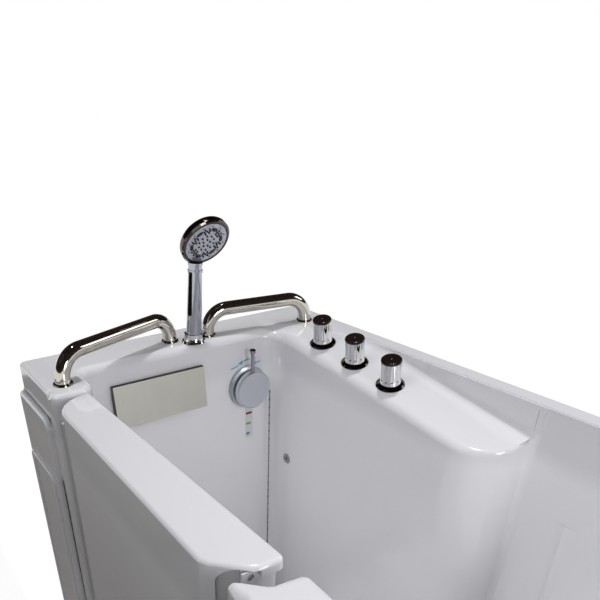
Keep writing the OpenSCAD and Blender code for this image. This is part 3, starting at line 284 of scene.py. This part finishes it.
def zinc_finish(name, colour, dark, flake=0.02):
    """Galvanised steel: dull crystals of slightly different greys."""
    finish = Finish(name, Metallic=0.85)
    crystals = {"Vector": finish.place, "Scale": 1 / flake}
    flakes = finish.node("ShaderNodeTexVoronoi", {"feature": "F1"}, crystals, output="Color")
    grey = finish.node("ShaderNodeSeparateColor", inputs={0: flakes})
    finish.give(
        Base_Color=finish.mix(grey, paint(*dark), paint(*colour)),
        Roughness=0.38 + 0.2 * grey,
        Normal=finish.bump(finish.noise(0.001), 0.00002),
    )
    return finish.material


SPRAY_CENTRE = Vector((-0.53142, 0.02967, 1.19924))  # the middle of the shower's disc
SPRAY_AXIS = Vector((0.8365, 0.0277, -0.5472))  # the way it sprays
TIPS_FROM, TIPS_FULL = 0.0004, 0.0006  # heights above the disc where the nozzles turn dark


def spray_face_finish():
    """Satin plating, with dark soft tips where the outer nozzles stand above the disc."""
    finish = Finish("satin_spray_face", Metallic=0.85)
    cloud = finish.noise(0.012, detail=3)
    height = finish.node(
        "ShaderNodeVectorMath", {"operation": "DOT_PRODUCT"}, {0: finish.place, 1: SPRAY_AXIS}, output=1
    )
    disc = SPRAY_CENTRE.dot(SPRAY_AXIS)
    tips = finish.band(height, disc + TIPS_FROM, disc + TIPS_FULL)
    plating = finish.mix(cloud, paint(196, 199, 209), paint(226, 228, 236))
    finish.give(
        Base_Color=finish.mix(tips, plating, paint(30, 30, 34)),
        Roughness=0.24 + 0.1 * cloud + 0.2 * tips,
        Normal=finish.bump(cloud, 0.00002),
    )
    return finish.material


PLATE_TOP, PLATE_SIDE = 0.929, -0.217  # the waterfall cover's top and its door-side edge


def plate_finish():
    """Satin steel plate of the waterfall; its top and door-side edges are painted dark: painted shade of
    the gap behind them, with a painted reflection along the top.
    """
    finish = Finish("satin_steel", Metallic=0.8)
    lines = finish.noise(0.006, detail=4, stretch=(1, 1, 26), roughness=0.65)
    cloud = finish.noise(0.05, detail=2)
    # painted shade and reflection: a dark band along the plate's top edge and its door-side edge
    top = finish.band(finish.along(Z), PLATE_TOP - 0.0012, PLATE_TOP - 0.0006)
    side = finish.band(finish.along(Y), PLATE_SIDE + 0.0016, PLATE_SIDE + 0.0008)
    painted_edge_shade = top.maths("MAXIMUM", top, side)
    face = finish.mix(0.3 * lines + 0.6 * cloud, paint(204, 202, 190), paint(222, 221, 211))
    finish.give(
        Base_Color=finish.mix(painted_edge_shade, face, paint(44, 40, 36)),
        Roughness=0.3 + 0.12 * lines - 0.1 * painted_edge_shade,
        Normal=finish.bump(lines, 0.00002),
    )
    return finish.material


PIN_TIP_FROM, PIN_TIP_FULL = 0.9455, 0.9465  # heights between which the pin turns black


def pin_finish():
    """Chrome pin with a black tip."""
    finish = Finish("pin_chrome", Metallic=0.9)
    wear = finish.noise(0.004, detail=3)
    tip = finish.band(finish.along(Z), PIN_TIP_FROM, PIN_TIP_FULL)
    plating = finish.mix(wear, paint(140, 141, 146), paint(176, 177, 182))
    finish.give(
        Base_Color=finish.mix(tip, plating, paint(16, 15, 15)),
        Roughness=0.14 + 0.1 * wear + 0.2 * tip,
    )
    return finish.material


def make_finishes():
    """One finish for each material slot of the record."""
    return {
        "acrylic": acrylic_finish(),
        "chrome": chrome_finish("bright_chrome"),
        "dark_chrome": chrome_finish("dark_chrome", (98, 92, 88), (66, 60, 56)),
        "brass": brushed_finish("plain_brass", (206, 172, 104), (158, 124, 70), 0.28),
        "hinge_steel": brushed_finish("hinge_steel", (205, 206, 208), (160, 161, 165), 0.25),
        "satin_silver": brushed_finish(
            "satin_silver", (226, 230, 236), (206, 210, 217), 0.36, grain=(1, 1, 4), grain_size=0.004
        ),
        "satin_steel": plate_finish(),
        "frame_steel": zinc_finish("galvanised_tube", (176, 180, 184), (138, 142, 148)),
        "zinc": zinc_finish("zinc_plate", (188, 190, 192), (154, 156, 160), 0.006),
        "rubber": plastic_finish("seal_rubber", (212, 213, 214), (186, 187, 189), 0.55, depth=0.00008),
        "white_plastic": plastic_finish("white_pipe_plastic", (228, 229, 230), (208, 210, 212), 0.35),
        "grey_plastic": plastic_finish("grey_trim_plastic", (150, 152, 157), (118, 120, 126), 0.35),
        "pipe_grey": plastic_finish("grey_pipe_plastic", (134, 136, 140), (110, 112, 116), 0.42),
        "black_gloss": plastic_finish("gloss_black_cap", (34, 26, 25), (16, 12, 12), 0.08, 0.02, 0.00001),
    }


def make_own_finishes():
    """Finishes of the single pieces that differ from the rest of their slot."""
    bar = chrome_finish("bar_chrome", (205, 200, 190), (176, 170, 158), 0.03)
    grip = chrome_finish("grip_chrome", (176, 179, 188), (140, 143, 152))
    cap = plastic_finish("brown_black_cap", (40, 28, 24), (18, 12, 11), 0.1, 0.02, 0.00001)
    return {
        "grab_bar_front": bar,
        "grab_bar_back": bar,
        "grab_bar_flanges": chrome_finish("flange_chrome", (120, 115, 108), (84, 80, 76), 0.06),
        "control_lever": pin_finish(),
        "plug_chain": chrome_finish("chain_steel", (120, 121, 122), (84, 84, 86), 0.3),
        "handle_cap_1": cap,
        "handle_cap_2": cap,
        "handle_cap_3": cap,
        "spray_face": spray_face_finish(),
        "shower_grip": grip,
        "shower_neck": grip,
        "water_jet": plastic_finish("jet_grey_plastic", (172, 174, 178), (140, 142, 146), 0.35),
        "control_ring": brushed_finish(
            "ring_silver", (206, 212, 220), (184, 190, 198), 0.4, grain=(1, 1, 4)
        ),
    }


# ---------------------------------------------------------------- CAD pieces, smoothed


def ride_with(piece, node_name):
    """Puts a piece on the body of a CAD node."""
    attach(piece, frame["nodes"][node_name]["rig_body"])


END_CENTRE = Vector((0.1078, -0.305))  # axis of the door's rounded near end
END_RADIUS = 0.070
CHAMFER_OUT = Vector((0.70, -0.714))  # square to the chamfer, pointing out of the door
CHAMFER_OFF = 0.0620  # from the axis to the chamfer
CHAMFER_ROUNDING = 1e-6  # square metres; rounds the chamfer off into the corner
STILL_WITHIN, FADE_OVER = 0.04, 0.022  # nothing moves near the axis, and all of it beyond both
LEAST_LEAN = 0.4  # corners that face away from the chamfer more than this stay


def flatten_door_end(point):
    """The near end's round corner drawn in to the nearly flat chamfer of the photograph."""
    arm = point.xy - END_CENTRE
    radius = arm.length
    if radius < STILL_WITHIN:
        return point
    lean = arm.normalized().dot(CHAMFER_OUT)
    if lean <= LEAST_LEAN:
        return point
    short = END_RADIUS - CHAMFER_OFF / lean
    pull = 0.5 * (short + math.sqrt(short * short + CHAMFER_ROUNDING))
    fade = min(1.0, (radius - STILL_WITHIN) / FADE_OVER)
    placed = END_CENTRE + arm * (1 - pull * fade / radius)
    return Vector((placed.x, placed.y, point.z))


# The edge of a small opening in the shell, where the well's rim meets the deck: anticlockwise from above
RIM_OPENING = [
    (-0.54538, 0.20164, 0.97200), (-0.54523, 0.20200, 0.97196), (-0.54136, 0.20705, 0.97065),
    (-0.53605, 0.21397, 0.96902), (-0.53103, 0.21783, 0.96803), (-0.52430, 0.22300, 0.96714),
    (-0.52710, 0.22300, 0.96902), (-0.52923, 0.22300, 0.96977), (-0.53423, 0.22300, 0.97200),
    (-0.53861, 0.21930, 0.97200), (-0.53988, 0.21773, 0.97200), (-0.54179, 0.21190, 0.97200),
    (-0.54251, 0.20848, 0.97200), (-0.54412, 0.20492, 0.97200),
]
STEEP = 0.5  # faces whose normal rises less than this are hidden walls, not the shell's surface


def ring_near(places, choices):
    """The vertices nearest to the places given, each once."""
    found = [min(choices, key=lambda v: (v.co - Vector(place)).length) for place in places]
    return [v for k, v in enumerate(found) if v is not found[k - 1]]


def close_opening(shape, places):
    """Puts a face across a small opening; the hidden walls under its edge are parted from it."""
    shape.normal_update()
    ring = ring_near(places, shape.verts)
    edges = [shape.edges.get(pair) for pair in zip(ring, ring[1:] + ring[:1])]
    walls = [f for f in shape.faces if f.normal.z < STEEP and any(e in edges for e in f.edges)]
    bmesh.ops.split(shape, geom=walls)
    shown = [v for v in shape.verts if any(f.normal.z >= STEEP for f in v.link_faces)]
    patch = shape.faces.new(ring_near(places, shown))
    bmesh.ops.triangulate(shape, faces=[patch])


SHARP = math.radians(32)  # edges that turn more than this stay sharp
WELD = 0.00003  # corners nearer than this become one
SHELL_WELD = 0.00025
EVENING = 60  # per cent, how strongly large faces lead the shading


def smooth_copy(node_name, material, weld, moved=None, opening=None):
    """The CAD piece with welded corners and shading that runs smoothly over its rounded edges."""
    source = frame["nodes"][node_name]
    mesh = source.data.copy()
    mesh.name = node_name + "_skin"
    shape = bmesh.new()
    shape.from_mesh(mesh)
    bmesh.ops.remove_doubles(shape, verts=shape.verts, dist=weld)
    bmesh.ops.dissolve_degenerate(shape, edges=shape.edges, dist=weld)
    if moved:
        for vertex in shape.verts:
            vertex.co = moved(vertex.co)
    if opening:
        close_opening(shape, opening)
    for face in shape.faces:
        face.smooth = True
    for edge in shape.edges:
        edge.smooth = len(edge.link_faces) == 2 and edge.calc_face_angle(0) < SHARP
    shape.to_mesh(mesh)
    shape.free()
    for layer in [a for a in mesh.attributes if a.name == "custom_normal"]:
        mesh.attributes.remove(layer)
    mesh.materials.clear()
    mesh.materials.append(material)
    piece = bpy.data.objects.new(node_name + "_skin", mesh)
    bpy.context.scene.collection.objects.link(piece)
    evener = piece.modifiers.new("even_shading", "WEIGHTED_NORMAL")
    evener.keep_sharp = True
    evener.weight = EVENING
    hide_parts(node_name)
    ride_with(piece, node_name)


# ---------------------------------------------------------------- small pieces and marks


def new_object(name, shape, material):
    """An object of its own from a finished shape."""
    mesh = bpy.data.meshes.new(name)
    shape.to_mesh(mesh)
    shape.free()
    mesh.materials.append(material)
    made = bpy.data.objects.new(name, mesh)
    bpy.context.scene.collection.objects.link(made)
    return made


def add_piece(name, shape, material, node_name):
    """A shape that rides with a CAD piece and shares its slot."""
    ride_with(new_object(name, shape, material), node_name)


def seat(centre, axis, along, stretch=(1, 1)):
    """A place whose Z runs along axis and whose X runs along the second direction."""
    turn = Matrix((along, axis.cross(along), axis)).transposed().to_4x4()
    return Matrix.Translation(centre) @ turn @ Matrix.Diagonal((stretch[0], stretch[1], 1, 1))


def lathe(shape, profile, place, steps=14):
    """Turns (radius, height) pairs about the place's Z axis and closes both ends."""
    turns = [2 * math.pi * k / steps for k in range(steps)]
    rings = []
    for radius, height in profile:
        corners = [Vector((radius * math.cos(a), radius * math.sin(a), height)) for a in turns]
        rings.append([shape.verts.new(place @ corner) for corner in corners])
    for lower, upper in zip(rings, rings[1:]):
        for k in range(steps):
            face = shape.faces.new((lower[k], lower[k - 1], upper[k - 1], upper[k]))
            face.normal_flip()
            face.smooth = True
    shape.faces.new(rings[0][::-1])
    shape.faces.new(rings[-1])


NOZZLE = [(0.0022, -0.0006), (0.0022, 0.0006), (0.0018, 0.0018), (0.0009, 0.0021)]
INNER_RINGS = [(0.0085, 5, 0), (0.018, 10, 10)]  # radius, nozzles, first angle in degrees
CLUSTERS, FIRST_CLUSTER = 6, 12  # how many round the face, and the first one's angle
CLUSTER = [  # each nozzle's distance from the face's centre, and its angle from the cluster's
    (0.0265, -9), (0.0265, 9), (0.0315, -12), (0.0315, 0), (0.0315, 12), (0.0365, -8), (0.0365, 8),
]
PETAL = [(0.0068, -0.0006), (0.0068, 0.0003), (0.0054, 0.0009), (0.0028, 0.0012)]
PETAL_REACH, PETAL_STRETCH, PETAL_STEPS = 0.0345, (1.25, 0.66), 24


def dress_spray_face():
    """Soft nozzles in rings and clusters, with six dark petals between the clusters."""
    tip = plastic_finish("nozzle_rubber", (34, 34, 38), (18, 18, 20), 0.42, 0.0006)
    gloss = plastic_finish("petal_gloss", (52, 53, 58), (30, 30, 34), 0.12, 0.004, 0.00001)
    up = (Vector((0, 0, 1)) - SPRAY_AXIS * SPRAY_AXIS.z).normalized()
    side = SPRAY_AXIS.cross(up)

    def spoke(degrees):
        return math.cos(math.radians(degrees)) * up + math.sin(math.radians(degrees)) * side

    nozzles, petals = bmesh.new(), bmesh.new()
    spots = [(reach, 360 * k / count + first) for reach, count, first in INNER_RINGS for k in range(count)]
    for k in range(CLUSTERS):
        middle = 360 / CLUSTERS * k + FIRST_CLUSTER
        spots += [(reach, middle + lean) for reach, lean in CLUSTER]
        arm = spoke(middle + 180 / CLUSTERS)
        centre = SPRAY_CENTRE + PETAL_REACH * arm
        place = seat(centre, SPRAY_AXIS, SPRAY_AXIS.cross(arm), PETAL_STRETCH)
        lathe(petals, PETAL, place, PETAL_STEPS)
    for reach, angle in spots:
        lathe(nozzles, NOZZLE, seat(SPRAY_CENTRE + reach * spoke(angle), SPRAY_AXIS, spoke(angle)))
    add_piece("spray_nozzles", nozzles, tip, "spray_face")
    add_piece("spray_petals", petals, gloss, "spray_face")


CHAIN_FOOT = Vector((-0.519, 0.191, 0.166))
BALL_RADIUS, BALL_STEPS = 0.0021, 8
BALL = [
    (0.0004, -BALL_RADIUS), (0.0015, -0.0015), (BALL_RADIUS, 0), (0.0015, 0.0015), (0.0004, BALL_RADIUS),
]
CHAIN_PITCH, CHAIN_BALLS = 0.0056, 118


def string_chain_balls():
    """The balls between the CAD chain's widely spaced ones, down its straight run."""
    shape = bmesh.new()
    for k in range(CHAIN_BALLS):
        place = Matrix.Translation(CHAIN_FOOT + Vector((0, 0, (k + 0.5) * CHAIN_PITCH)))
        lathe(shape, BALL, place, BALL_STEPS)
    add_piece("chain_balls", shape, OWN_FINISHES["plug_chain"], "plug_chain")


def middle_of(node_name):
    """The middle of a CAD piece's box."""
    corners = [v.co for v in frame["nodes"][node_name].data.vertices]
    sides = [[min(c[k] for c in corners), max(c[k] for c in corners)] for k in (X, Y, Z)]
    return Vector([(low + high) / 2 for low, high in sides])


def surface_of(node_name):
    """A CAD piece's surface, to find points on it."""
    source = frame["nodes"][node_name]
    corners = [source.matrix_world @ v.co for v in source.data.vertices]
    return BVHTree.FromPolygons(corners, [tuple(f.vertices) for f in source.data.polygons])


CAP_DOT = [(0.0019, -0.0004), (0.0018, 0.0002), (0.001, 0.0005)]
ABOVE_CAP = 0.03  # from here the cap's top is looked for


def dot_caps():
    """A small centre mark in each tap cap."""
    mark = plastic_finish("cap_centre", (120, 104, 98), (84, 70, 66), 0.2, 0.002)
    for k in (1, 2, 3):
        cap = "handle_cap_%d" % k
        axis = (middle_of(cap) - middle_of("handle_%d" % k)).normalized()
        top = surface_of(cap).ray_cast(middle_of(cap) + ABOVE_CAP * axis, -axis)[0]
        shape = bmesh.new()
        lathe(shape, CAP_DOT, seat(top, axis, axis.orthogonal().normalized()))
        add_piece("cap_centre_%d" % k, shape, mark, cap)


def stroke(line, width):
    """A painted line through some points, as one four-cornered patch for each stretch of it."""
    line = [Vector(p) for p in line]
    left, right = [], []
    for k, point in enumerate(line):
        run = (line[min(k + 1, len(line) - 1)] - line[max(k - 1, 0)]).normalized()
        offset = Vector((-run.y, run.x)) * width / 2
        left.append(point + offset)
        right.append(point - offset)
    return [[left[k], left[k + 1], right[k + 1], right[k]] for k in range(len(line) - 1)]


PRINT_SUNK = 0.0005  # how far the print's back lies inside the wall
WELL_MIDDLE = -0.5  # X of a place in the well, in front of the wall


def lay_print(name, patches, material, wall, thickness=0.0004):
    """Thin print on the well's far wall. Patches are outlines in Y and Z, each a convex shape."""
    shape = bmesh.new()
    for patch in patches:
        on_wall = [wall.ray_cast(Vector((WELL_MIDDLE, y, z)), Vector((-1, 0, 0)))[0] for y, z in patch]
        back, front = (
            [shape.verts.new(place + Vector((lift, 0, 0))) for place in on_wall]
            for lift in (-PRINT_SUNK, thickness)
        )
        shape.faces.new(back)
        shape.faces.new(front[::-1])
        for k in range(len(patch)):
            shape.faces.new((back[k - 1], back[k], front[k], front[k - 1]))
    bmesh.ops.recalc_face_normals(shape, faces=shape.faces)
    add_piece(name, shape, material, "tub_shell")


def box_outline(y, z, width, height):
    return [(y, z), (y + width, z), (y + width, z + height), (y, z + height)]


# The turn arrows: painted lines with their widths, and heads, in Y and Z
LONG_ARROW = [(0.1487, 0.915), (0.1400, 0.9145), (0.1310, 0.9123), (0.1220, 0.9095)]
LONG_HEAD = [(0.1245, 0.9150), (0.1250, 0.9045), (0.1120, 0.9070)]
TAIL_DASH = [(0.0931, 0.8989), (0.1149, 0.9030)]
SHORT_ARROW = [(0.1655, 0.9010), (0.1790, 0.9030)]
SHORT_HEAD = [(0.1655, 0.9065), (0.1655, 0.8960), (0.1590, 0.9010)]
FAR_DASH = [(0.1600, 0.9140), (0.1650, 0.9125)]
CURVE_WIDTH, DASH_WIDTH = 0.0032, 0.0030

SCALE_BOX = (0.134, 0.700, 0.022, 0.086)  # the scale's backing: Y, Z, width, height
BAR_SIDE, BAR_HEIGHT = 0.1355, 0.006
BARS = (  # name, Z, width, colour and its darker tone
    ("hot_bar", 0.766, 0.018, (150, 38, 34), (122, 26, 24)),
    ("warm_bar", 0.737, 0.0145, (176, 190, 62), (146, 160, 40)),
    ("cool_bar", 0.708, 0.011, (92, 156, 184), (66, 130, 160)),
)


def print_wall_marks():
    """The turn arrows above the waste control, and the temperature scale below it."""
    wall = surface_of("tub_shell")
    blue = plastic_finish("arrow_blue_print", (132, 190, 212), (104, 170, 198), 0.4)
    arrows = stroke(LONG_ARROW, CURVE_WIDTH) + [LONG_HEAD]
    arrows += stroke(TAIL_DASH, DASH_WIDTH) + stroke(SHORT_ARROW, DASH_WIDTH) + [SHORT_HEAD]
    arrows += stroke(FAR_DASH, DASH_WIDTH)
    lay_print("turn_arrows", arrows, blue, wall)
    backing = plastic_finish("scale_backing", (226, 228, 232), (214, 217, 222), 0.3, 0.01)
    lay_print("temperature_scale", [box_outline(*SCALE_BOX)], backing, wall, 0.0003)
    for name, z, width, colour, dark in BARS:
        ink = plastic_finish(name + "_print", colour, dark, 0.35)
        lay_print(name, [box_outline(BAR_SIDE, z, width, BAR_HEIGHT)], ink, wall, 0.0006)


# ---------------------------------------------------------------- room

FLOOR_SIZE, FLOOR_LEVEL = 60, -0.001
FLOOR_GLOW, GLOW_SHARE = 1.06, 0.92  # the floor's own brightness, and its share in what is seen


def lay_floor():
    """A pale floor that the camera sees as white, darker only in the tub's shadow."""
    finish = Finish("studio_floor", Base_Color=paint(188, 188, 190), Roughness=0.9)
    glow = finish.node("ShaderNodeEmission", inputs={"Strength": FLOOR_GLOW})
    share = finish.seen_or_mirrored() * GLOW_SHARE
    lit = Value(finish, finish.shader.outputs[0])
    mixed = finish.node("ShaderNodeMixShader", inputs={0: share, 1: lit, 2: glow})
    finish.feed(finish.tree.nodes["Material Output"].inputs["Surface"], mixed)
    shape = bmesh.new()
    bmesh.ops.create_grid(shape, x_segments=4, y_segments=4, size=FLOOR_SIZE)
    floor = new_object("floor", shape, finish.material)
    floor.location.z = FLOOR_LEVEL


SKY_LOW = (0.12, 0.12, 0.125, 1)
SKY_HIGH = (0.40, 0.402, 0.408, 1)
SKY_FROM, SKY_FULL = 0.08, 0.42  # how high a direction rises where the sky turns from low to high


def light_room():
    """White surroundings for the camera and for reflections; for the rest, soft light from above."""
    scene = bpy.context.scene
    scene.view_settings.view_transform = "Standard"
    world = bpy.data.worlds.new("studio")
    scene.world = world
    world.use_nodes = True
    sky = Tree(world.node_tree)
    direction = sky.node("ShaderNodeTexCoord", output="Generated")
    height = sky.node("ShaderNodeSeparateXYZ", inputs={0: direction}, output=Z)
    soft = sky.mix(sky.band(height, SKY_FROM, SKY_FULL), SKY_LOW, SKY_HIGH)
    seen = sky.mix(sky.seen_or_mirrored(), soft, (1, 1, 1, 1))
    sky.feed(world.node_tree.nodes["Background"].inputs["Color"], seen)
    sun_lamp("overhead_sun", energy=1.24, towards=(-0.1, 0.12, 1), angle=4)
    area_lamp("wall_side_softbox", (0.6, 2.2, 2.3), (0, 0, 0.9), size=0.9, energy=6)
    area_lamp("door_side_softbox", (-0.4, -3.58, 4.9), (-0.1, 0.2, 0.6), size=2.2, energy=56)
    area_lamp("seat_end_softbox", (2.0, 0.0, 1.55), (-0.5, 0.05, 0.7), size=0.7, energy=12)
    hang_card("ceiling_card", (0.0, 0.0, 3.4), (30, 30))
    hang_card("door_side_flag", (0.0, -1.03, 1.3), (2.6, 0.66), blocks_light=True)
    hang_card("door_side_mat", (0.3, -1.9, 0.004), (7, 2.95), shade=(130, 127, 124), blocks_light=True)
    hang_card("grip_side_card", (-0.572, -0.017, 1.088), (0.045, 0.095), facing=(0, 1, 0))


def turn_to(direction):
    """The turn that points an object's Z axis in a direction."""
    return Vector(direction).to_track_quat("Z", "Y").to_euler()


def sun_lamp(name, energy, towards, angle):
    """A sun that stands in a direction and looks angle degrees wide."""
    lamp = bpy.data.lights.new(name, "SUN")
    lamp.energy = energy
    lamp.angle = math.radians(angle)
    sun = bpy.data.objects.new(name, lamp)
    sun.rotation_euler = turn_to(towards)
    bpy.context.scene.collection.objects.link(sun)


def area_lamp(name, place, target, size, energy):
    """A square lamp that shines from its place at a target, and isn't seen itself."""
    lamp = bpy.data.lights.new(name, "AREA")
    lamp.size = size
    lamp.energy = energy
    box = bpy.data.objects.new(name, lamp)
    box.location = place
    box.rotation_euler = turn_to(Vector(place) - Vector(target))
    box.visible_camera = False
    bpy.context.scene.collection.objects.link(box)


def hang_card(name, place, size, shade=(40, 30, 26), facing=(0, 0, 1), blocks_light=False):
    """A dark card that the camera doesn't see: chrome mirrors it.

    One that blocks light keeps the door side dim.
    """
    finish = Finish(name + "_black", Base_Color=paint(*shade), Roughness=1.0)
    shape = bmesh.new()
    bmesh.ops.create_grid(shape, x_segments=2, y_segments=2, size=0.5)
    card = new_object(name, shape, finish.material)
    card.location = place
    card.scale = (size[0], size[1], 1)
    card.rotation_euler = turn_to(facing)
    card.visible_camera = False
    card.visible_diffuse = blocks_light
    card.visible_shadow = blocks_light
    card.visible_transmission = False


# ---------------------------------------------------------------- build

aim_camera()
FINISHES = make_finishes()
OWN_FINISHES = make_own_finishes()
RESHAPED = {"door_panel": flatten_door_end, "end_gasket": flatten_door_end}
for name in sorted(frame["nodes"]):
    is_shell = name == "tub_shell"
    smooth_copy(
        name,
        OWN_FINISHES.get(name) or FINISHES[SLOT_OF[name]],
        weld=SHELL_WELD if is_shell else WELD,
        moved=RESHAPED.get(name),
        opening=RIM_OPENING if is_shell else None,
    )
dress_spray_face()
print_wall_marks()
string_chain_balls()
dot_caps()
lay_floor()
light_room()
